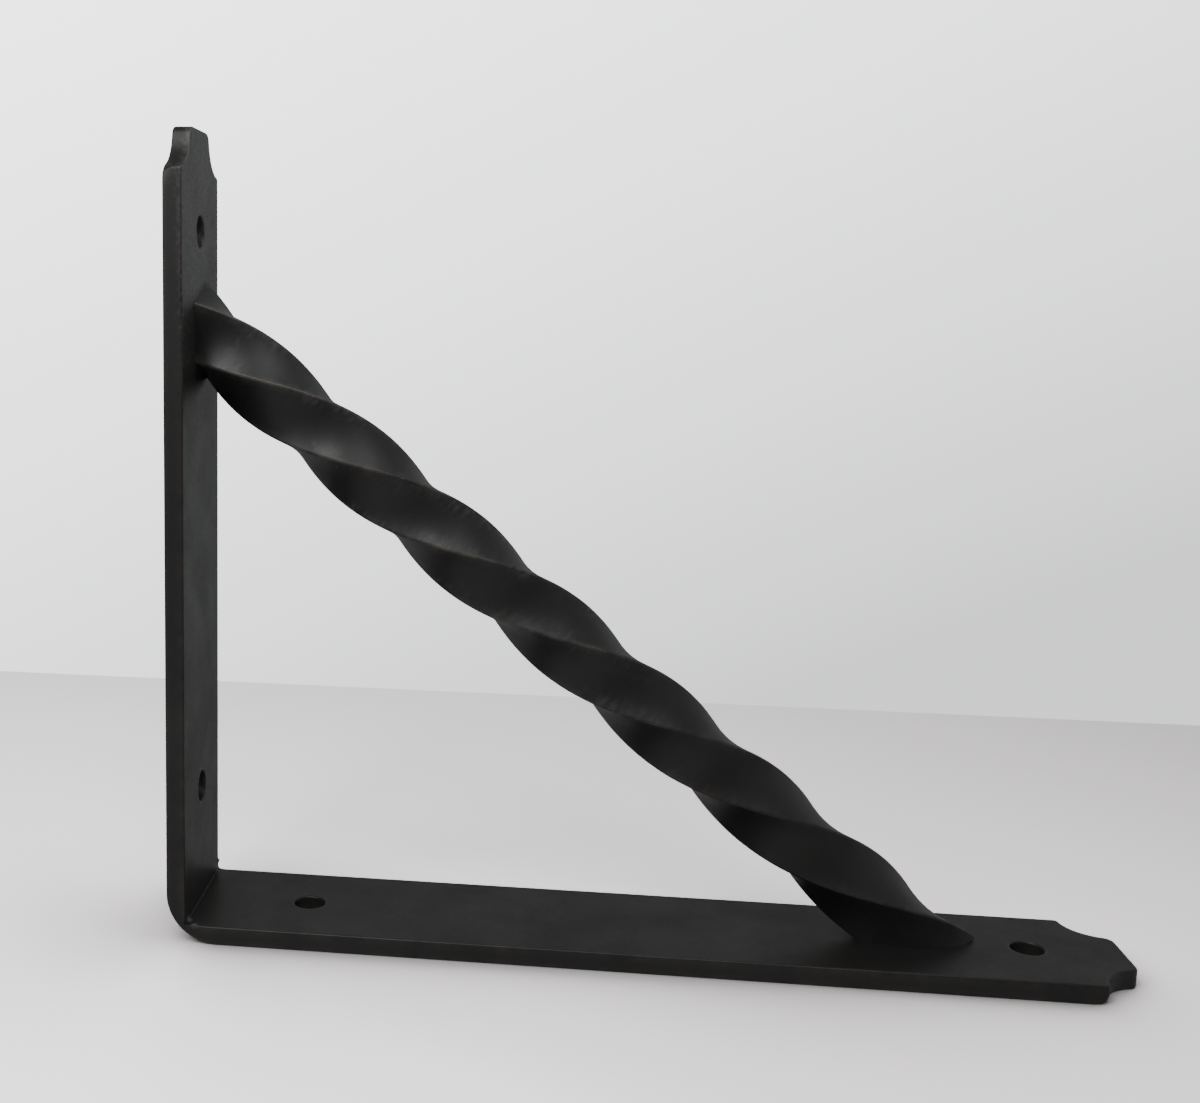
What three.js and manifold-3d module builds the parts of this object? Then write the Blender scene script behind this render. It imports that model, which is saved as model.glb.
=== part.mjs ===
// A wrought-iron shelf bracket: a flat bar bent into two legs with scalloped ends, and a square
// bar, twisted along its whole length, that braces one leg against the other.
//
// Millimetres, +Z up. The shelf leg lies along X on the ground, the wall leg stands at its -X end,
// and the origin is under the middle of the bracket.

import * as THREE from 'three';
import { mergeVertices } from 'three/addons/utils/BufferGeometryUtils.js';
import Module from 'manifold-3d';

// The flat bar.
const strapWidth = 40;
const strapThickness = 4.9;
const wallLegHeight = 207.2;
const shelfLegLength = 242.6;
const bendOuterRadius = 13;
const bendInnerRadius = 2.5;

// The scallops cut from the corners of each end, centred on the bar's own corners.
const scallopRadius = 10.2;
const shoulderRound = 1.2;
const tipRound = 2;

// The drilled screw holes, on the middle line of each leg.
const holeDiameter = 8.2;
const wallHoleBelowTip = 25.3;
const wallHoleAboveHeel = 35.9;
const shelfHoleBeforeTip = 23.7;
const shelfHoleFromHeel = 34.5;

// The twisted brace. Its axis meets the inner face of each leg this far from that leg's tip, and
// a little behind the middle line.
const braceSize = 15.9;
const braceArrisRound = 1.8;
const braceBelowWallTip = 50.2;
const braceBeforeShelfTip = 51.1;
const braceOffsetAtWall = 2.4;
const braceOffsetAtShelf = 3.6;
const quarterTurnLength = 33.6;
const turnAtWall = THREE.MathUtils.degToRad(2.2);

// The room left between the brace's cut ends and the legs.
const jointGap = 0.3;

// How finely round shapes are divided.
const arcSegments = 10;
const holeSegments = 32;
const arrisSegments = 3;
const stepsPerQuarterTurn = 8;

const wasm = await Module();
wasm.setup();

function solid(geometry) {
  geometry.deleteAttribute('normal');
  geometry.deleteAttribute('uv');
  const merged = mergeVertices(geometry);
  return new wasm.Manifold(new wasm.Mesh({
    numProp: 3,
    vertProperties: new Float32Array(merged.attributes.position.array),
    triVerts: new Uint32Array(merged.index.array),
  }));
}

function geometryOf(body) {
  const mesh = body.getMesh();
  const geometry = new THREE.BufferGeometry();
  geometry.setAttribute('position', new THREE.BufferAttribute(new Float32Array(mesh.vertProperties), 3));
  geometry.setIndex(new THREE.BufferAttribute(new Uint32Array(mesh.triVerts), 1));
  geometry.computeVertexNormals();
  return geometry;
}

function extruded(shape, depth) {
  return new THREE.ExtrudeGeometry(shape, { depth, bevelEnabled: false, curveSegments: arcSegments });
}

// The bar seen from the side: both legs and the bend, in X and Z.
function strapProfile() {
  const side = new THREE.Shape();
  const innerCentre = strapThickness + bendInnerRadius;
  side.moveTo(strapThickness, wallLegHeight);
  side.lineTo(0, wallLegHeight);
  side.absarc(bendOuterRadius, bendOuterRadius, bendOuterRadius, Math.PI, 1.5 * Math.PI, false);
  side.lineTo(shelfLegLength, 0);
  side.lineTo(shelfLegLength, strapThickness);
  side.absarc(innerCentre, innerCentre, bendInnerRadius, 1.5 * Math.PI, Math.PI, true);
  return side;
}

// One leg seen flat: straight edges, then a scallop and two small rounds at each corner of the tip.
function legOutline(length, heel) {
  const half = strapWidth / 2;
  const centreOffset = (round) => Math.sqrt(scallopRadius ** 2 + 2 * scallopRadius * round);
  const leanAt = (round) => Math.asin(round / (scallopRadius + round));
  const arcs = [
    {
      u: length - centreOffset(shoulderRound),
      v: shoulderRound - half,
      radius: shoulderRound,
      from: -Math.PI / 2,
      to: -leanAt(shoulderRound),
      clockwise: false,
    },
    {
      u: length,
      v: -half,
      radius: scallopRadius,
      from: Math.PI - leanAt(shoulderRound),
      to: Math.PI / 2 + leanAt(tipRound),
      clockwise: true,
    },
    {
      u: length - tipRound,
      v: centreOffset(tipRound) - half,
      radius: tipRound,
      from: leanAt(tipRound) - Math.PI / 2,
      to: 0,
      clockwise: false,
    },
  ];
  const outline = new THREE.Shape();
  outline.moveTo(-heel, half);
  outline.lineTo(-heel, -half);
  for (const arc of arcs) {
    outline.absarc(arc.u, arc.v, arc.radius, arc.from, arc.to, arc.clockwise);
  }
  for (const arc of arcs.reverse()) {
    outline.absarc(arc.u, -arc.v, arc.radius, -arc.to, -arc.from, arc.clockwise);
  }
  return outline;
}

function hole(length) {
  return new THREE.CylinderGeometry(holeDiameter / 2, holeDiameter / 2, length, holeSegments);
}

function angleStrap() {
  const spare = strapThickness;
  const depth = strapThickness + bendInnerRadius + 2 * spare;

  const bentBar = extruded(strapProfile(), strapWidth + 2 * spare);
  bentBar.rotateX(Math.PI / 2);
  bentBar.translate(0, strapWidth / 2 + spare, 0);

  const shelfPlan = extruded(legOutline(shelfLegLength, spare), depth);
  shelfPlan.translate(0, 0, -spare);

  const wallPlan = extruded(legOutline(wallLegHeight, spare), depth);
  wallPlan.rotateY(-Math.PI / 2);
  wallPlan.translate(depth - spare, 0, 0);

  let body = solid(bentBar).intersect(solid(shelfPlan).add(solid(wallPlan)));

  for (const height of [wallHoleAboveHeel, wallLegHeight - wallHoleBelowTip]) {
    const drill = hole(3 * strapThickness);
    drill.rotateZ(Math.PI / 2);
    drill.translate(strapThickness / 2, 0, height);
    body = body.subtract(solid(drill));
  }
  for (const reach of [shelfHoleFromHeel, shelfLegLength - shelfHoleBeforeTip]) {
    const drill = hole(3 * strapThickness);
    drill.rotateX(Math.PI / 2);
    drill.translate(reach, 0, strapThickness / 2);
    body = body.subtract(solid(drill));
  }
  return geometryOf(body);
}

// The square bar's section, with its arrises rounded.
function braceSection() {
  const corner = braceSize / 2 - braceArrisRound;
  const section = new THREE.Shape();
  for (let quarter = 0; quarter < 4; quarter += 1) {
    const angle = quarter * Math.PI / 2;
    const x = corner * (Math.cos(angle) - Math.sin(angle));
    const y = corner * (Math.cos(angle) + Math.sin(angle));
    section.absarc(x, y, braceArrisRound, angle, angle + Math.PI / 2, false);
  }
  return section;
}

function twistedBrace() {
  const wallEnd = new THREE.Vector3(strapThickness, braceOffsetAtWall, wallLegHeight - braceBelowWallTip);
  const shelfEnd = new THREE.Vector3(
    shelfLegLength - braceBeforeShelfTip, braceOffsetAtShelf, strapThickness);
  const axis = shelfEnd.clone().sub(wallEnd);
  const overrun = 3 * braceSize;
  const length = axis.length() + 2 * overrun;
  axis.normalize();

  const bar = new THREE.ExtrudeGeometry(braceSection(), {
    depth: length,
    steps: Math.ceil(length / quarterTurnLength * stepsPerQuarterTurn),
    bevelEnabled: false,
    curveSegments: arrisSegments,
  });
  const points = bar.attributes.position;
  const point = new THREE.Vector3();
  const barAxis = new THREE.Vector3(0, 0, 1);
  for (let i = 0; i < points.count; i += 1) {
    point.fromBufferAttribute(points, i);
    const along = point.z - overrun;
    point.applyAxisAngle(barAxis, turnAtWall - along / quarterTurnLength * Math.PI / 2);
    points.setXYZ(i, point.x, point.y, along);
  }

  const across = new THREE.Vector3(0, 1, 0);
  across.addScaledVector(axis, -axis.y).normalize();
  const upward = across.clone().cross(axis);
  const place = new THREE.Matrix4().makeBasis(upward, across, axis).setPosition(wallEnd);
  bar.applyMatrix4(place);

  const inside = strapThickness + jointGap;
  const room = new THREE.BoxGeometry(shelfLegLength, 3 * strapWidth, wallLegHeight);
  room.translate(inside + shelfLegLength / 2, 0, inside + wallLegHeight / 2);
  return geometryOf(solid(bar).intersect(solid(room)));
}

const blackIron = new THREE.MeshStandardMaterial({
  name: 'black_iron',
  color: 0x2c2b2a,
  roughness: 0.55,
  metalness: 0.7,
});

const bracket = new THREE.Group();
bracket.position.x = -shelfLegLength / 2;
for (const [name, geometry] of [
  ['angle_strap', angleStrap()],
  ['twisted_brace', twistedBrace()],
]) {
  const mesh = new THREE.Mesh(geometry, blackIron.clone());
  mesh.name = name;
  bracket.add(mesh);
}

// The bracket hangs in an outer group, so that the origin stays under its middle.
const model = new THREE.Group();
model.add(bracket);

export default model;
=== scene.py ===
import math

import bmesh
import bpy
from mathutils import Matrix, Vector


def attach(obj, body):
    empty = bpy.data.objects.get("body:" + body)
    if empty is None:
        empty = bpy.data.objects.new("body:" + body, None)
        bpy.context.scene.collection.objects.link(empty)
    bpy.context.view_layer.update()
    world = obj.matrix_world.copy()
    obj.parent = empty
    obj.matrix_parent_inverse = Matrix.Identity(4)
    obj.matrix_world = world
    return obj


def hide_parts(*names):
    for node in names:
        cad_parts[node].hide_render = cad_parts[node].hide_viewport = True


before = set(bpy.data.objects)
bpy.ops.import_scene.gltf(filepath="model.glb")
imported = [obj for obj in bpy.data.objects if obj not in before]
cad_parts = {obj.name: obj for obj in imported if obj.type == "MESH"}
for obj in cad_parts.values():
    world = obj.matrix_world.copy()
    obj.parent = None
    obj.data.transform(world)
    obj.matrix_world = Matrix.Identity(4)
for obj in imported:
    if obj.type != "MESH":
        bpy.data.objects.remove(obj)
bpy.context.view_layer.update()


# The strap. One flat iron bar, 40 x 5 mm, its end corners punched out in quarter circles and its four
# screw holes drilled while it is flat, then bent hot over a sharp edge into a wall leg and a shelf leg.
# Black and satin, a shade browner where its arrises are rubbed.

MM = 0.001

bar_width = 40 * MM
bar_thickness = 4.9 * MM
wall_leg_height = 207.2 * MM
shelf_leg_length = 242.6 * MM
heel_x = -shelf_leg_length / 2
wall_face_x = heel_x + bar_thickness
strap_arris = 0.5 * MM

bend_outer_radius = 13 * MM
bend_inner_radius = 0.25 * MM
bend_half = bend_outer_radius * math.pi / 4
flat_of_wall_leg = wall_leg_height - bend_outer_radius + bend_half
flat_of_shelf_leg = shelf_leg_length - bend_outer_radius + bend_half

scallop_radius = 10.2 * MM
shoulder_round = 1.2 * MM
tip_round = 2.8 * MM

hole_radius = 4.1 * MM
wall_holes = [35.9 * MM, 181.9 * MM]
shelf_holes = [34.5 * MM, 218.9 * MM]

# The punch drags the outer face in at each shoulder, most at the face itself.
punch_drag = 1.3 * MM
punch_drag_reach = 1.7 * MM
punch_drag_depth = 2.6 * MM
in_from_shoulder = Vector((0.8, 0.6, 0))

# The squeezed metal of the crease. Each mound has its height, how far in from the bar's edge and along a
# leg its middle lies, and how far it spreads in those two ways.
crease_pucker = (0.8 * MM, (3.0 * MM, 0), (0.8 * MM, 0.7 * MM))
arris_knuckle = (0.7 * MM, (0, 2.2 * MM), (1.0 * MM, 0.6 * MM))
near_edge_nick = (-0.25 * MM, (0, 0), (0.9 * MM, 0.8 * MM))
far_edge_fill = (0.35 * MM, (0, 0), (0.9 * MM, 0.8 * MM))
waist_of_bend = 0.35 * MM

# How finely the flat bar is divided: in cells, with a patch of four cells each way about a hole, and lines
# along it that stand closer near its edges, where the bend puckers. The arcs of an end have their own steps.
cell = bar_width / 20
hole_patch = bar_width / 5
bend_steps = 80
lines_near_edge = [15.5 * MM, 16.5 * MM, 17.5 * MM, 18.4 * MM, bar_width / 2]
lines_from_middle = [cell * i for i in range(8)] + lines_near_edge
lines_across = [-y for y in reversed(lines_from_middle[1:])] + lines_from_middle
lines_in_edges = (1.3 * MM, 2.6 * MM)
rim_inset = 1 * MM
shoulder_steps = 5
scallop_steps = 18
tip_steps = 6


def along_bar(distance, leg):
    """Where a distance from the outer corner falls on the flat bar: the shelf leg runs to plus."""
    return leg * (distance - bend_outer_radius + bend_half)


hole_places = [along_bar(d, -1) for d in wall_holes] + [along_bar(d, 1) for d in shelf_holes]


def lean(small_round):
    """The angle at which a small round meets the scallop beside it."""
    return math.asin(small_round / (scallop_radius + small_round))


def offset(small_round):
    """How far from the bar's corner the centre of a small round stands."""
    return math.sqrt(scallop_radius**2 + 2 * scallop_radius * small_round)


def arc(center, radius, start, end, steps):
    """Points on an arc about a centre, in the plane of the flat bar."""
    turns = [start + (end - start) * i / steps for i in range(steps + 1)]
    return [Vector((center[0] + radius * math.cos(a), center[1] + radius * math.sin(a), 0)) for a in turns]


def scalloped_end(reach):
    """The outline of one end, from the near edge round the tip to the far edge, for an end at plus."""
    half = bar_width / 2
    near = arc(
        (reach - offset(shoulder_round), shoulder_round - half), shoulder_round,
        -math.pi / 2, -lean(shoulder_round), shoulder_steps)
    near += arc(
        (reach, -half), scallop_radius,
        math.pi - lean(shoulder_round), math.pi / 2 + lean(tip_round), scallop_steps)[1:]
    near += arc(
        (reach - tip_round, offset(tip_round) - half), tip_round,
        lean(tip_round) - math.pi / 2, 0, tip_steps)[1:]
    flat_from = near[-1].y
    across = [Vector((reach, flat_from * (1 - i / tip_steps), 0)) for i in range(1, 2 * tip_steps)]
    far = [Vector((p.x, -p.y, 0)) for p in reversed(near)]
    return near + across + far


def drawn_by_punch(point):
    """Where a point of the flat bar lies once the punch has dragged the outer face in at the shoulders."""
    reach = flat_of_shelf_leg if point.x > 0 else flat_of_wall_leg
    shoulder = Vector((
        math.copysign(reach - scallop_radius, point.x), math.copysign(bar_width / 2, point.y)))
    distance = (point.to_2d() - shoulder).length
    outer_share = max(0, 1 - point.z / punch_drag_depth)
    drag = punch_drag * outer_share**1.5 * math.exp(-(distance / punch_drag_reach) ** 2)
    outwards = Vector((
        math.copysign(in_from_shoulder.x, point.x), math.copysign(in_from_shoulder.y, point.y), 0))
    return point - outwards * drag


def bar_stations():
    """Where the flat bar is divided along its length: evenly, but in step with the holes and the bend."""
    fixed = [
        (-flat_of_wall_leg + offset(shoulder_round), 0),
        (-bend_half, 0),
        (bend_half, bend_steps),
        (flat_of_shelf_leg - offset(shoulder_round), 0),
    ]
    for middle in hole_places:
        fixed += [(middle - hole_patch, 0), (middle + hole_patch, round(2 * hole_patch / cell))]
    fixed.sort()
    stations = [fixed[0][0]]
    for (low, _), (high, given) in zip(fixed, fixed[1:]):
        steps = given or max(1, round((high - low) / cell))
        stations += [low + (high - low) * i / steps for i in range(1, steps + 1)]
    return stations


def drill_hole(bm, middle):
    """Opens a square patch of the flat bar about a point and draws its rim in to a round hole."""
    patch = [
        f for f in bm.faces
        if max(abs(f.calc_center_median().x - middle.x), abs(f.calc_center_median().y)) < hole_patch
    ]
    rim = [e for e in {e for f in patch for e in f.edges} if sum(f in patch for f in e.link_faces) == 1]
    bmesh.ops.delete(bm, geom=patch, context="FACES")

    # One ring two fifths of the way out to the square, then the hole's own rim.
    for share in (0.4, 0.0):
        made = bmesh.ops.extrude_edge_only(bm, edges=rim)["geom"]
        rim = [g for g in made if isinstance(g, bmesh.types.BMEdge) and len(g.link_faces) == 1]
        for vert in {v for e in rim for v in e.verts}:
            out = vert.co - middle
            largest = max(abs(out.x), abs(out.y))
            turn = math.pi / 4 * min(abs(out.x), abs(out.y)) / largest
            if share:
                spoke = Vector((math.cos(turn), math.sin(turn), 0))
                if abs(out.x) < abs(out.y):
                    spoke = Vector((spoke.y, spoke.x, 0))
                spoke = Vector((math.copysign(spoke.x, out.x), math.copysign(spoke.y, out.y), 0))
            else:
                spoke = out.normalized()
            vert.co = middle + spoke * (hole_radius + share * (out.length - hole_radius))


def flat_bar():
    """The bar before it is bent: X along it, Y across, Z through it from the outer face to the inner."""
    bm = bmesh.new()
    stations = bar_stations()

    row = [bm.verts.new((stations[0], y, 0)) for y in lines_across]
    edges = [bm.edges.new(pair) for pair in zip(row, row[1:])]
    first_row = list(edges)
    for low, high in zip(stations, stations[1:]):
        made = bmesh.ops.extrude_edge_only(bm, edges=edges)["geom"]
        edges = [g for g in made if isinstance(g, bmesh.types.BMEdge)]
        edges = [e for e in edges if len(e.link_faces) == 1 and all(v in made for v in e.verts)]
        moved = list({v for e in edges for v in e.verts})
        bmesh.ops.translate(bm, verts=moved, vec=(high - low, 0, 0))
    last_row = edges

    for place in hole_places:
        drill_hole(bm, Vector((place, 0, 0)))

    for row_edges, reach, side in ((last_row, flat_of_shelf_leg, 1), (first_row, flat_of_wall_leg, -1)):
        outline = scalloped_end(reach)
        if side < 0:
            outline = [Vector((-p.x, p.y, 0)) for p in outline]
        tip = [bm.verts.new(p) for p in outline]
        rim = [bm.edges.new(pair) for pair in zip(tip, tip[1:])]
        row_verts = list({v for e in row_edges for v in e.verts})
        bmesh.ops.remove_doubles(bm, verts=tip + row_verts, dist=0.01 * MM)
        loop = [e for e in rim if e.is_valid] + [e for e in row_edges if e.is_valid]
        bmesh.ops.contextual_create(bm, geom=loop)

    bmesh.ops.recalc_face_normals(bm, faces=bm.faces)
    bmesh.ops.inset_region(
        bm, faces=bm.faces[:], thickness=rim_inset, use_boundary=True, use_even_offset=True)
    tips = [f for f in bm.faces if len(f.verts) > 4]
    bmesh.ops.triangulate(bm, faces=tips, quad_method="BEAUTY", ngon_method="BEAUTY")

    made = bmesh.ops.extrude_face_region(bm, geom=bm.faces[:])["geom"]
    lifted = [g for g in made if isinstance(g, bmesh.types.BMVert)]
    bmesh.ops.translate(bm, verts=lifted, vec=(0, 0, bar_thickness))
    bmesh.ops.recalc_face_normals(bm, faces=bm.faces)
    for depth in lines_in_edges:
        bmesh.ops.bisect_plane(
            bm, geom=bm.verts[:] + bm.edges[:] + bm.faces[:], dist=0.001 * MM,
            plane_co=(0, 0, depth), plane_no=(0, 0, 1))
    return bm


def round_arrises(bm, width, layer):
    """Rounds every edge between a flat and a wall, and marks the rounded surface on the layer."""
    def is_wall(face):
        heights = [v.co.z for v in face.verts]
        return max(heights) - min(heights) > width

    sharp = [
        e for e in bm.edges
        if sum(is_wall(f) for f in e.link_faces) == 1 and abs(e.verts[0].co.z - e.verts[1].co.z) < width
    ]
    made = bmesh.ops.bevel(
        bm, geom=sharp, offset=width, offset_type="OFFSET", segments=4, profile=0.5,
        affect="EDGES", material=-1, clamp_overlap=False)
    for face in made["faces"]:
        for vert in face.verts:
            vert[layer] = 1.0


def mound(shape, from_edge, along_leg):
    """How high one mound of the crease stands at a place in from the bar's edge and along a leg."""
    height, middle, spread = shape
    away = ((from_edge - middle[0]) / spread[0]) ** 2 + ((along_leg - middle[1]) / spread[1]) ** 2
    return height * math.exp(-away)


def bent(point):
    """Where a point of the flat bar comes to lie once the bar is bent."""
    u, across, depth = point
    if u > bend_half:
        return Vector((u - bend_half + bend_outer_radius, across, depth))
    if u < -bend_half:
        return Vector((depth, across, -u - bend_half + bend_outer_radius))
    side = math.copysign(1, u)
    middle_of_bend = math.radians(225)
    swing = middle_of_bend + u / bend_half * math.pi / 4
    outer = Vector((
        bend_outer_radius * (1 + math.cos(swing)), across, bend_outer_radius * (1 + math.sin(swing))))
    inner_center = bar_thickness + bend_inner_radius
    half_arc = bend_inner_radius * math.pi / 4
    straight = bend_outer_radius - inner_center
    travelled = abs(u) / bend_half * (half_arc + straight)
    swing = middle_of_bend + side * min(travelled, half_arc) / bend_inner_radius
    inner = Vector((
        inner_center + bend_inner_radius * math.cos(swing), across,
        inner_center + bend_inner_radius * math.sin(swing)))
    beyond = max(0, travelled - half_arc)
    inner += Vector((beyond, 0, 0)) if side > 0 else Vector((0, 0, beyond))
    place = outer.lerp(inner, depth / bar_thickness)

    # The bend squeezes the metal inside it and draws in its sides. A knuckle stands on the shelf leg's
    # near arris and one on the wall leg's far arris.
    from_edge = bar_width / 2 - abs(across)
    inside = max(0, depth / bar_thickness - 0.5) * 2
    squeezed = mound(crease_pucker, from_edge, travelled)
    if side * across < 0:
        squeezed += mound(arris_knuckle, from_edge, travelled)
    squeezed += mound(far_edge_fill if across > 0 else near_edge_nick, from_edge, travelled)
    place += Vector((1, 0, 1)).normalized() * squeezed * inside
    drawn_in = (1 - inside) * math.cos(u / bend_half * math.pi / 2) * waist_of_bend
    place.y -= math.copysign(drawn_in, across) * (abs(across) / (bar_width / 2)) ** 4
    return place


def finished_object(name, bm):
    """A named object at the origin whose place is in its mesh, shaded smooth with its flats kept flat."""
    mesh = bpy.data.meshes.new(name)
    bm.to_mesh(mesh)
    bm.free()
    mesh.shade_smooth()
    made = bpy.data.objects.new(name, mesh)
    bpy.context.scene.collection.objects.link(made)
    flats = made.modifiers.new("flats stay flat", "WEIGHTED_NORMAL")
    flats.mode = "FACE_AREA"
    flats.keep_sharp = True
    return made


strap_mesh = flat_bar()
rubbed = strap_mesh.verts.layers.float.new("rubbed")
along = strap_mesh.verts.layers.float_vector.new("along bar")
round_arrises(strap_mesh, strap_arris, rubbed)
for vert in strap_mesh.verts:
    vert[along] = vert.co
    vert.co = bent(drawn_by_punch(vert.co)) + Vector((heel_x, 0, 0))
strap = finished_object("bent_strap", strap_mesh)


# Surface effects that the bars share: the satin black skin, brown metal on rubbed arrises, the grinder's
# scratches, handling scuffs, stain marks and spots of painted light and shade. Each is a group that reads a
# vector it is given, the object's own coordinates or the place on the bar before it was bent or twisted.

def shader_group(name, inputs, outputs):
    """A node group with named sockets. Inputs come as (name, kind, default), outputs as (name, kind)."""
    group = bpy.data.node_groups.new(name, "ShaderNodeTree")
    for label, kind, default in inputs:
        socket = group.interface.new_socket(label, in_out="INPUT", socket_type=kind)
        if default is not None:
            socket.default_value = default
    for label, kind in outputs:
        group.interface.new_socket(label, in_out="OUTPUT", socket_type=kind)
    return group, group.nodes.new("NodeGroupInput").outputs, group.nodes.new("NodeGroupOutput").inputs


def node(tree, kind, wires=None, **settings):
    """Adds a node, sets its properties, and joins or fills its sockets by name or number."""
    made = tree.nodes.new(kind)
    for key, value in settings.items():
        setattr(made, key, value)
    for key, value in (wires or {}).items():
        socket = made.inputs[key]
        if isinstance(value, bpy.types.NodeSocket):
            tree.links.new(value, socket)
        else:
            socket.default_value = value
    return made


def math_node(tree, operation, *values):
    return node(tree, "ShaderNodeMath", dict(enumerate(values)), operation=operation).outputs[0]


def vector_node(tree, operation, *values):
    return node(tree, "ShaderNodeVectorMath", dict(enumerate(values)), operation=operation).outputs


def ramp(tree, value, low, high, to_low=0.0, to_high=1.0):
    """A value spread from one range to another, held at both ends."""
    wires = {"Value": value, "From Min": low, "From Max": high, "To Min": to_low, "To Max": to_high}
    return node(tree, "ShaderNodeMapRange", wires).outputs["Result"]


def mix_colors(tree, share, first, second):
    return node(tree, "ShaderNodeMix", {0: share, 6: first, 7: second}, data_type="RGBA").outputs[2]


skin_group, skin_in, skin_out = shader_group(
    "satin black skin",
    [
        ("Vector", "NodeSocketVector", None),
        ("Dark", "NodeSocketColor", (0.02, 0.02, 0.02, 1)),
        ("Light", "NodeSocketColor", (0.04, 0.04, 0.04, 1)),
        ("Brown", "NodeSocketColor", (0.04, 0.03, 0.02, 1)),
        ("Cloud size", "NodeSocketFloat", 60.0),
        ("Grain size", "NodeSocketFloat", 1800.0),
    ],
    [("Color", "NodeSocketColor"), ("Gloss change", "NodeSocketFloat"), ("Height", "NodeSocketFloat")])
clouds = node(skin_group, "ShaderNodeTexNoise", {
    "Vector": skin_in["Vector"], "Scale": skin_in["Cloud size"], "Detail": 4.0, "Roughness": 0.6})
cloud_amount = ramp(skin_group, clouds.outputs["Fac"], 0.35, 0.68)
brown_clouds = node(skin_group, "ShaderNodeTexNoise", {
    "Vector": vector_node(skin_group, "ADD", skin_in["Vector"], (7.3, 2.1, 4.7))[0],
    "Scale": math_node(skin_group, "MULTIPLY", skin_in["Cloud size"], 0.55), "Detail": 3.0})
brown_amount = ramp(skin_group, brown_clouds.outputs["Fac"], 0.5, 0.75, 0.0, 0.6)
grain = node(skin_group, "ShaderNodeTexNoise", {
    "Vector": skin_in["Vector"], "Scale": skin_in["Grain size"], "Detail": 3.0, "Roughness": 0.7})
blotched = mix_colors(skin_group, cloud_amount, skin_in["Dark"], skin_in["Light"])
skin_group.links.new(mix_colors(skin_group, brown_amount, blotched, skin_in["Brown"]), skin_out["Color"])
skin_group.links.new(
    math_node(skin_group, "ADD", ramp(skin_group, clouds.outputs["Fac"], 0.3, 0.7, 0.05, -0.05),
              ramp(skin_group, grain.outputs["Fac"], 0.3, 0.7, -0.05, 0.05)),
    skin_out["Gloss change"])
skin_group.links.new(
    math_node(skin_group, "ADD", clouds.outputs["Fac"],
              math_node(skin_group, "MULTIPLY", grain.outputs["Fac"], 0.25)),
    skin_out["Height"])

rub_group, rub_in, rub_out = shader_group(
    "rubbed arris",
    [
        ("Vector", "NodeSocketVector", None),
        ("Arris", "NodeSocketFloat", 0.0),
        ("Patch size", "NodeSocketFloat", 120.0),
        ("Amount", "NodeSocketFloat", 0.5),
    ],
    [("Mask", "NodeSocketFloat")])
patches = node(rub_group, "ShaderNodeTexNoise", {
    "Vector": rub_in["Vector"], "Scale": rub_in["Patch size"], "Detail": 6.0, "Roughness": 0.7})
broken = ramp(rub_group, patches.outputs["Fac"], 0.38, 0.62)
rub_share = math_node(rub_group, "MULTIPLY", rub_in["Arris"], rub_in["Amount"])
rub_group.links.new(math_node(rub_group, "MULTIPLY", rub_share, broken), rub_out["Mask"])

scratch_group, scratch_in, scratch_out = shader_group(
    "grinder scratches",
    [
        ("Vector", "NodeSocketVector", None),
        ("Fineness", "NodeSocketVector", (40.0, 1500.0, 1500.0)),
        ("Amount", "NodeSocketFloat", 0.5),
    ],
    [("Mask", "NodeSocketFloat")])
scratches = node(scratch_group, "ShaderNodeTexNoise", {
    "Vector": vector_node(scratch_group, "MULTIPLY", scratch_in["Vector"], scratch_in["Fineness"])[0],
    "Scale": 1.0, "Detail": 2.0, "Roughness": 0.5})
scratched = ramp(scratch_group, scratches.outputs["Fac"], 0.55, 0.75)
scratch_group.links.new(
    math_node(scratch_group, "MULTIPLY", scratched, scratch_in["Amount"]), scratch_out["Mask"])

scuff_group, scuff_in, scuff_out = shader_group(
    "handling scuffs",
    [
        ("Vector", "NodeSocketVector", None),
        ("Where", "NodeSocketFloat", 1.0),
        ("Fineness", "NodeSocketVector", (260.0, 260.0, 260.0)),
        ("Amount", "NodeSocketFloat", 0.5),
    ],
    [("Mask", "NodeSocketFloat")])
scuff_places = node(scuff_group, "ShaderNodeTexNoise", {
    "Vector": scuff_in["Vector"], "Scale": 65.0, "Detail": 2.0})
scuff_flecks = node(scuff_group, "ShaderNodeTexNoise", {
    "Vector": vector_node(scuff_group, "MULTIPLY", scuff_in["Vector"], scuff_in["Fineness"])[0],
    "Scale": 1.0, "Detail": 4.0, "Roughness": 0.65})
scuffed = math_node(
    scuff_group, "MULTIPLY", ramp(scuff_group, scuff_places.outputs["Fac"], 0.42, 0.6),
    ramp(scuff_group, scuff_flecks.outputs["Fac"], 0.45, 0.72))
scuffed_there = math_node(scuff_group, "MULTIPLY", scuffed, scuff_in["Where"])
scuff_group.links.new(
    math_node(scuff_group, "MULTIPLY", scuffed_there, scuff_in["Amount"]), scuff_out["Mask"])

# Each stain, and each spot of painted light and shade, is drawn by this group.
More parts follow.
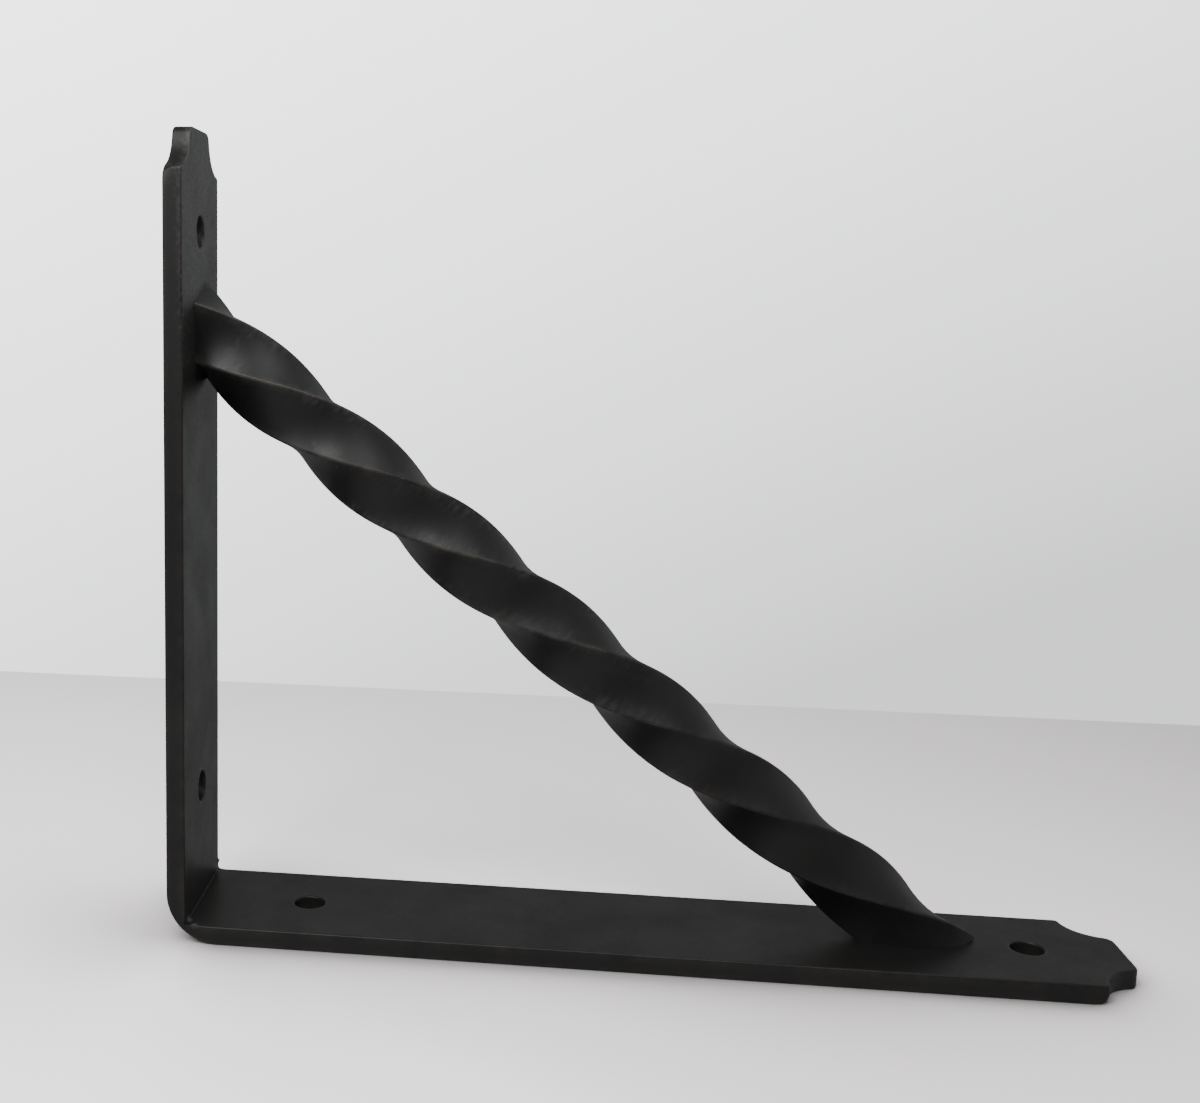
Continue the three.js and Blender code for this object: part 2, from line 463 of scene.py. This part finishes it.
stain_and_painted_light_group, stain_in, stain_out = shader_group(
    "small stain and painted light",
    [
        ("Vector", "NodeSocketVector", None),
        ("Middle", "NodeSocketVector", (0.0, 0.0, 0.0)),
        ("Reach", "NodeSocketVector", (0.001, 0.001, 0.001)),
        ("Amount", "NodeSocketFloat", 0.5),
    ],
    [("Mask", "NodeSocketFloat")])
from_middle_of_stain = vector_node(stain_and_painted_light_group, "SUBTRACT", stain_in["Vector"], stain_in["Middle"])[0]
share_of_reach = vector_node(stain_and_painted_light_group, "DIVIDE", from_middle_of_stain, stain_in["Reach"])[0]
stain_distance = vector_node(stain_and_painted_light_group, "LENGTH", share_of_reach)["Value"]
stain_edge = node(stain_and_painted_light_group, "ShaderNodeTexNoise", {
    "Vector": stain_in["Vector"], "Scale": 900.0, "Detail": 3.0})
ragged = math_node(
    stain_and_painted_light_group, "ADD", stain_distance, ramp(stain_and_painted_light_group, stain_edge.outputs["Fac"], 0.3, 0.7, -0.3, 0.3))
stained = ramp(stain_and_painted_light_group, ragged, 0.2, 1.2, 1.0, 0.0)
stain_and_painted_light_group.links.new(math_node(stain_and_painted_light_group, "MULTIPLY", stained, stain_in["Amount"]), stain_out["Mask"])

satin_roughness = 0.42
polish_of_rubbing = 0.12
relief_of_skin = 0.05 * MM


def iron_material(name, colors, amounts, scratch_fineness, marks_and_painted_light, scuff_fineness=None):
    """Black iron of one bar: the skin, its rubbed arrises, scratches, stain marks and spots of painted light
    and shade, and scuffs where the bar has them. Each stain and each painted spot is its middle and reach on
    the bar, its color and its amount."""
    material = bpy.data.materials.new(name)
    material.use_nodes = True
    tree = material.node_tree
    shader = tree.nodes["Principled BSDF"]
    place = node(tree, "ShaderNodeTexCoord").outputs["Object"]
    on_bar = node(tree, "ShaderNodeAttribute", attribute_name="along bar").outputs["Vector"]
    arris = node(tree, "ShaderNodeAttribute", attribute_name="rubbed").outputs["Fac"]
    skin = node(tree, "ShaderNodeGroup", {
        "Vector": place, "Dark": colors["dark"], "Light": colors["light"], "Brown": colors["brown"],
    }, node_tree=skin_group)
    rub = node(tree, "ShaderNodeGroup", {
        "Vector": place, "Arris": arris, "Amount": amounts["rub"]}, node_tree=rub_group)
    scratch = node(tree, "ShaderNodeGroup", {
        "Vector": on_bar, "Fineness": scratch_fineness, "Amount": amounts["scratch"],
    }, node_tree=scratch_group)
    color = skin.outputs["Color"]
    if scuff_fineness:
        near_arris = node(tree, "ShaderNodeAttribute", attribute_name="near arris").outputs["Fac"]
        scuff = node(tree, "ShaderNodeGroup", {
            "Vector": on_bar, "Where": near_arris, "Fineness": scuff_fineness, "Amount": amounts["scuff"],
        }, node_tree=scuff_group)
        color = mix_colors(tree, scuff.outputs["Mask"], color, colors["scuffed"])
    color = mix_colors(tree, rub.outputs["Mask"], color, colors["rubbed"])
    # Stain marks, and spots of painted light and painted shade, mixed into the colour one by one.
    for middle, reach, stain_and_painted_light_color, amount in marks_and_painted_light:
        stain = node(tree, "ShaderNodeGroup", {
            "Vector": place, "Middle": middle, "Reach": reach, "Amount": amount}, node_tree=stain_and_painted_light_group)
        color = mix_colors(tree, stain.outputs["Mask"], color, stain_and_painted_light_color)
    tree.links.new(color, shader.inputs["Base Color"])
    rough = math_node(tree, "ADD", skin.outputs["Gloss change"], satin_roughness)
    polish = math_node(tree, "MULTIPLY", rub.outputs["Mask"], polish_of_rubbing)
    tree.links.new(math_node(tree, "SUBTRACT", rough, polish), shader.inputs["Roughness"])
    height = math_node(tree, "SUBTRACT", skin.outputs["Height"], scratch.outputs["Mask"])
    bump = node(tree, "ShaderNodeBump", {"Strength": 0.25, "Distance": relief_of_skin, "Height": height})
    tree.links.new(bump.outputs["Normal"], shader.inputs["Normal"])
    return material


strap_colors = {
    "dark": (0.0165, 0.0163, 0.0158, 1),
    "light": (0.023, 0.0228, 0.0222, 1),
    "brown": (0.024, 0.0205, 0.0175, 1),
    "rubbed": (0.055, 0.049, 0.040, 1),
}
# Soot for the marks by the holes, and painted shade for the crease.
soot_and_crease_shade = (0.004, 0.004, 0.004, 1)
# Painted highlights: bright spots on the knuckles at the crease's near end.
painted_knuckle_highlight = (0.11, 0.108, 0.104, 1)
# Painted light: a paler grey that lightens the top of the wall leg, where more light falls.
painted_light_at_tip = (0.09, 0.09, 0.088, 1)

# The strap's marks, each where it lies and how far it reaches: painted light towards the wall leg's tip,
# soot under the upper hole, a speck of it over the lower hole, painted shade in the crease, and two painted
# highlights at its knuckles.
strap_stains_and_painted_light = [
    # Painted light on the top of the wall leg's inner face.
    ((wall_face_x + 2 * MM, 0, 216 * MM), (3.5 * MM, 70 * MM, 70 * MM), painted_light_at_tip, 1.0),
    ((wall_face_x, -1.0 * MM, 176.2 * MM), (2 * MM, 0.5 * MM, 2.6 * MM), soot_and_crease_shade, 0.9),
    ((wall_face_x, -6.0 * MM, 48.0 * MM), (1 * MM, 0.6 * MM, 0.7 * MM), soot_and_crease_shade, 0.7),
    # Painted shade along the crease, where the corner is darker.
    ((wall_face_x, 0, bar_thickness), (0.9 * MM, 60 * MM, 0.9 * MM), soot_and_crease_shade, 0.9),
    # Two painted highlights on the crease's knuckles.
    ((wall_face_x + 0.4 * MM, -17.0 * MM, 5.4 * MM), (1.1 * MM, 1.1 * MM, 1.1 * MM), painted_knuckle_highlight, 1.0),
    ((wall_face_x + 2.4 * MM, -19.7 * MM, 5.2 * MM), (1.1 * MM, 1.0 * MM, 1.0 * MM), painted_knuckle_highlight, 1.0),
]
lengthwise = (40, 1500, 1500)
strap.data.materials.append(iron_material(
    "strap iron", strap_colors, {"rub": 0.45, "scratch": 0.3}, lengthwise, strap_stains_and_painted_light))
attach(strap, "root")
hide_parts("angle_strap")


# The brace. One square iron bar, 16 mm, heated and twisted left-handed along its whole length, its ends
# sawn to the bracket's angle and welded flush to the legs. The twist's arrises are rubbed to brown metal.

brace_side = 15.3 * MM
brace_arris = 0.8 * MM
brace_crown = 0.3 * MM
brace_at_wall = Vector((wall_face_x, 2.4 * MM, wall_leg_height - 50.2 * MM))
brace_at_shelf = Vector((heel_x + shelf_leg_length - 51.1 * MM, 3.6 * MM, bar_thickness))
quarter_turn = 33.6 * MM
turn_at_wall = math.radians(2.2)
steps_in_quarter = 24

# The foot's tip is cut off blunt, and over its last stretch the foot stands clear of the shelf leg.
foot_reach = 16.9 * MM
foot_tip_lean = Vector((0.95, 0, 0.31))
open_joint_length = 4.5 * MM
open_joint_slope = 0.2

# Handling has scuffed the faces beside the arrises. Rubs and scuffs fade from the middle of the bar down.
scuffed_beside_arris = 5 * MM
wear_fades_from = 110 * MM
wear_fades_over = 90 * MM
rub_lost_low_down = 0.65
scuff_lost_low_down = 0.85

brace_line = brace_at_shelf - brace_at_wall
overrun = 42 * MM
step_length = quarter_turn / steps_in_quarter
brace_steps = math.ceil((brace_line.length + 2 * overrun) / quarter_turn * steps_in_quarter)

brace_mesh = bmesh.new()
bmesh.ops.create_circle(
    brace_mesh, cap_ends=True, cap_tris=False, segments=4, radius=brace_side / math.sqrt(2),
    matrix=Matrix.Rotation(math.radians(45), 4, "Z"))
bmesh.ops.bevel(
    brace_mesh, geom=brace_mesh.verts[:], offset=brace_arris, offset_type="OFFSET", segments=4, profile=0.5,
    affect="VERTICES", material=-1)
bmesh.ops.subdivide_edges(
    brace_mesh, edges=[e for e in brace_mesh.edges if e.calc_length() > brace_arris], cuts=7)
bmesh.ops.delete(brace_mesh, geom=brace_mesh.faces[:], context="FACES_ONLY")
arris_layer = brace_mesh.verts.layers.float.new("rubbed")
near_arris_layer = brace_mesh.verts.layers.float.new("near arris")
along_layer = brace_mesh.verts.layers.float_vector.new("along bar")
brace_flat = brace_side / 2 - brace_arris
for vert in brace_mesh.verts:
    from_middle = min(abs(vert.co.x), abs(vert.co.y))
    round_share = 1.25 - abs(abs(vert.co.x) - abs(vert.co.y)) / brace_arris
    vert[arris_layer] = max(0.0, min(1.0, round_share))
    vert[near_arris_layer] = max(0.0, 1 - (brace_side / 2 - from_middle) / scuffed_beside_arris)
    vert[along_layer] = vert.co
    crown = brace_crown * max(0, 1 - (from_middle / brace_flat) ** 2)
    if abs(vert.co.x) > abs(vert.co.y):
        vert.co.x += math.copysign(crown, vert.co.x)
    else:
        vert.co.y += math.copysign(crown, vert.co.y)
bmesh.ops.spin(
    brace_mesh, geom=brace_mesh.edges[:], cent=(0, 0, 0), axis=(0, 0, 1), dvec=(0, 0, step_length),
    angle=-math.pi / 2 / steps_in_quarter * brace_steps, steps=brace_steps)
for vert in brace_mesh.verts:
    low_down = max(0.0, min(1.0, (vert.co.z - overrun - wear_fades_from) / wear_fades_over))
    vert[arris_layer] *= 1 - rub_lost_low_down * low_down
    vert[near_arris_layer] *= 1 - scuff_lost_low_down * low_down
    vert[along_layer] = vert[along_layer] + Vector((0, 0, vert.co.z))

down_brace = brace_line.normalized()
sideways = (Vector((0, 1, 0)) - down_brace * down_brace.y).normalized()
upward = sideways.cross(down_brace)
lay_brace = Matrix((upward, sideways, down_brace)).transposed().to_4x4()
start_turn = turn_at_wall + overrun / quarter_turn * math.pi / 2
bmesh.ops.transform(
    brace_mesh, verts=brace_mesh.verts,
    matrix=Matrix.Translation(brace_at_wall) @ lay_brace
    @ Matrix.Translation((0, 0, -overrun)) @ Matrix.Rotation(start_turn, 4, "Z"))

foot_tip_x = brace_at_shelf.x + foot_reach
for cut_at, facing in (
        (brace_at_wall, (-1, 0, 0)),
        (brace_at_shelf, (0, 0, -1)),
        (Vector((foot_tip_x - open_joint_length, 0, bar_thickness)), (open_joint_slope, 0, -1)),
        (Vector((foot_tip_x, 0, 0)), foot_tip_lean)):
    made = bmesh.ops.bisect_plane(
        brace_mesh, geom=brace_mesh.verts[:] + brace_mesh.edges[:] + brace_mesh.faces[:], dist=0.001 * MM,
        plane_co=cut_at, plane_no=facing, clear_outer=True)
    rim = [g for g in made["geom_cut"] if isinstance(g, bmesh.types.BMEdge)]
    bmesh.ops.contextual_create(brace_mesh, geom=rim)
    for edge in rim:
        edge.smooth = False
bmesh.ops.recalc_face_normals(brace_mesh, faces=brace_mesh.faces)
brace = finished_object("twisted_bar", brace_mesh)

brace_colors = {
    "dark": (0.0155, 0.0155, 0.0160, 1),
    "light": (0.0225, 0.0225, 0.0232, 1),
    "brown": (0.023, 0.0190, 0.0160, 1),
    "scuffed": (0.12, 0.110, 0.104, 1),
    "rubbed": (0.13, 0.118, 0.098, 1),
}
bright_rub = (0.06, 0.058, 0.056, 1)

# Six small bright rubs on the faces of the upper turns.
brace_stains = [
    ((-106.4 * MM, -3.4 * MM, 159.6 * MM), (2.4 * MM, 1.8 * MM, 0.9 * MM), bright_rub, 0.5),
    ((-106.0 * MM, -4.3 * MM, 154.2 * MM), (0.6 * MM, 0.9 * MM, 1.8 * MM), bright_rub, 0.45),
    ((-107.8 * MM, -5.2 * MM, 152.7 * MM), (2.0 * MM, 1.2 * MM, 0.7 * MM), bright_rub, 0.4),
    ((-85.8 * MM, -6.3 * MM, 129.4 * MM), (0.8 * MM, 0.9 * MM, 1.1 * MM), bright_rub, 0.4),
    ((-82.5 * MM, -7.0 * MM, 127.3 * MM), (4.5 * MM, 2.0 * MM, 1.6 * MM), bright_rub, 0.35),
    ((-55.9 * MM, -6.9 * MM, 106.2 * MM), (3.5 * MM, 1.8 * MM, 1.8 * MM), bright_rub, 0.35),
]
crosswise = (250, 250, 1600)
short_flecks = (250, 250, 650)
brace.data.materials.append(iron_material(
    "brace iron", brace_colors, {"rub": 0.75, "scratch": 0.5, "scuff": 1.0}, crosswise, brace_stains,
    short_flecks))
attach(brace, "root")
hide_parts("twisted_brace")


# The pale table top that the bracket stands on. It isn't part of the bracket. The camera sees it paler than
# it lights the iron, with painted shade in that seen colour: darker towards the right, and darker where the
# bracket shields it from soft light low behind it.

table_back = 247 * MM
table_front = -1200 * MM
table_half_width = 1500 * MM
table_color = (0.6, 0.59, 0.59, 1)
# Painted shade: the seen colour grows darker from left to right.
seen_at_left = (3.9, 3.7, 3.72, 1)
seen_at_right = (2.55, 2.41, 2.43, 1)
left_end = -250 * MM
right_end = 400 * MM
low_light_height = math.radians(30)
shielding_reach = 100 * MM
shielding_strength = 1.4

floor_mesh = bmesh.new()
bmesh.ops.create_grid(floor_mesh, x_segments=1, y_segments=1, size=1)
bmesh.ops.scale(
    floor_mesh, verts=floor_mesh.verts, vec=(table_half_width, (table_back - table_front) / 2, 1))
bmesh.ops.translate(floor_mesh, verts=floor_mesh.verts, vec=(0, (table_back + table_front) / 2, 0))
floor_data = bpy.data.meshes.new("pale_floor")
floor_mesh.to_mesh(floor_data)
floor_mesh.free()
floor = bpy.data.objects.new("pale_floor", floor_data)
bpy.context.scene.collection.objects.link(floor)
floor_paint = bpy.data.materials.new("pale floor")
floor_paint.use_nodes = True
paint = floor_paint.node_tree
floor_shader = paint.nodes["Principled BSDF"]
floor_shader.inputs["Base Color"].default_value = table_color
floor_shader.inputs["Roughness"].default_value = 0.8
on_table = node(paint, "ShaderNodeSeparateXYZ", {0: node(paint, "ShaderNodeTexCoord").outputs["Object"]})
to_right = ramp(paint, on_table.outputs["X"], left_end, right_end)
seen_color = mix_colors(paint, to_right, seen_at_left, seen_at_right)
# Painted shade: the seen colour darkens as far as the bracket blocks a soft light low behind it.
from_behind = node(paint, "ShaderNodeCombineXYZ", {
    "Y": math.cos(low_light_height), "Z": math.sin(low_light_height)})
open_to_light = node(paint, "ShaderNodeAmbientOcclusion", {
    "Distance": shielding_reach, "Normal": from_behind.outputs[0]}, samples=16)
painted_shade_factor = math_node(paint, "POWER", open_to_light.outputs["AO"], shielding_strength)
seen_color_with_painted_shade = mix_colors(paint, painted_shade_factor, (0, 0, 0, 1), seen_color)
lit_table = node(paint, "ShaderNodeBsdfDiffuse", {"Color": seen_color_with_painted_shade})
seen_table = node(paint, "ShaderNodeMixShader", {
    0: node(paint, "ShaderNodeLightPath").outputs["Is Camera Ray"],
    1: floor_shader.outputs["BSDF"], 2: lit_table.outputs["BSDF"]})
paint.links.new(seen_table.outputs["Shader"], paint.nodes["Material Output"].inputs["Surface"])
floor.data.materials.append(floor_paint)


# Soft studio light: a pale surround, as bright from each side as given here, four soft lamps, and the
# camera at its station. The camera sees a paler backdrop, which dims to the right and brightens upwards.

light_from = {"right": 0.38, "left": 0.1, "back": 0.3, "front": 0.02, "top": 0.1}
backdrop_level = 2.25
backdrop_to_right = -1.6
backdrop_upwards = 3.3
backdrop_least = 1.2

world = bpy.data.worlds.new("pale surround")
bpy.context.scene.world = world
world.use_nodes = True
sky = world.node_tree
way = node(sky, "ShaderNodeSeparateXYZ", {0: node(sky, "ShaderNodeTexCoord").outputs["Generated"]}).outputs
brightness = None
for side, (axis, sign) in {
        "right": (0, 1), "left": (0, -1), "back": (1, 1), "front": (1, -1), "top": (2, 1)}.items():
    towards = math_node(sky, "MAXIMUM", math_node(sky, "MULTIPLY", way[axis], sign), 0.0)
    share = math_node(sky, "MULTIPLY", math_node(sky, "POWER", towards, 2.0), light_from[side])
    brightness = math_node(sky, "ADD", brightness, share) if brightness else share
sky.nodes["Background"].inputs["Color"].default_value = (0.985, 1.0, 1.01, 1)
sky.links.new(brightness, sky.nodes["Background"].inputs["Strength"])
dimmed = math_node(sky, "ADD", math_node(sky, "MULTIPLY", way["X"], backdrop_to_right), backdrop_level)
graded = math_node(sky, "ADD", math_node(sky, "MULTIPLY", way["Z"], backdrop_upwards), dimmed)
seen_strength = math_node(sky, "MAXIMUM", graded, backdrop_least)
backdrop = node(sky, "ShaderNodeBackground", {"Color": (0.99, 1.0, 1.01, 1), "Strength": seen_strength})
seen_backdrop = node(sky, "ShaderNodeMixShader", {
    0: node(sky, "ShaderNodeLightPath").outputs["Is Camera Ray"],
    1: sky.nodes["Background"].outputs["Background"], 2: backdrop.outputs["Background"]})
sky.links.new(seen_backdrop.outputs["Shader"], sky.nodes["World Output"].inputs["Surface"])


def soft_lamp(name, place, aim, size, power):
    """A square lamp of a size in metres and a power in watts, turned to what it is aimed at."""
    light = bpy.data.lights.new(name, "AREA")
    light.size = size
    light.energy = power
    lamp = bpy.data.objects.new(name, light)
    lamp.location = place
    lamp.rotation_euler = (Vector(aim) - Vector(place)).to_track_quat("-Z", "Y").to_euler()
    bpy.context.scene.collection.objects.link(lamp)


middle_of_bracket = (0, 0, 0.08)
soft_lamp("lamp at upper left", (-0.3, -0.25, 0.32), middle_of_bracket, 0.32, 0.62)
soft_lamp("lamp above the front", (-0.1, -0.35, 0.55), middle_of_bracket, 0.3, 0.88)
soft_lamp("lamp above the right", (0.12, -0.1, 0.42), middle_of_bracket, 0.2, 0.1)
soft_lamp("lamp over the wall tip", (-0.02, 0, 0.33), (-0.1, 0, 0.15), 0.12, 0.06)

camera_data = bpy.data.cameras.new("camera")
camera_data.sensor_width = 36
camera_data.lens = 44.87
camera_data.shift_x = 0.2049
camera_data.shift_y = -0.0171
camera_data.clip_start = 0.01
camera = bpy.data.objects.new("camera", camera_data)
camera.location = (-0.02772, -0.37885, 0.16466)
camera.rotation_euler = (math.radians(81.33), math.radians(-0.739), math.radians(7.392))
bpy.context.scene.collection.objects.link(camera)
bpy.context.scene.camera = camera
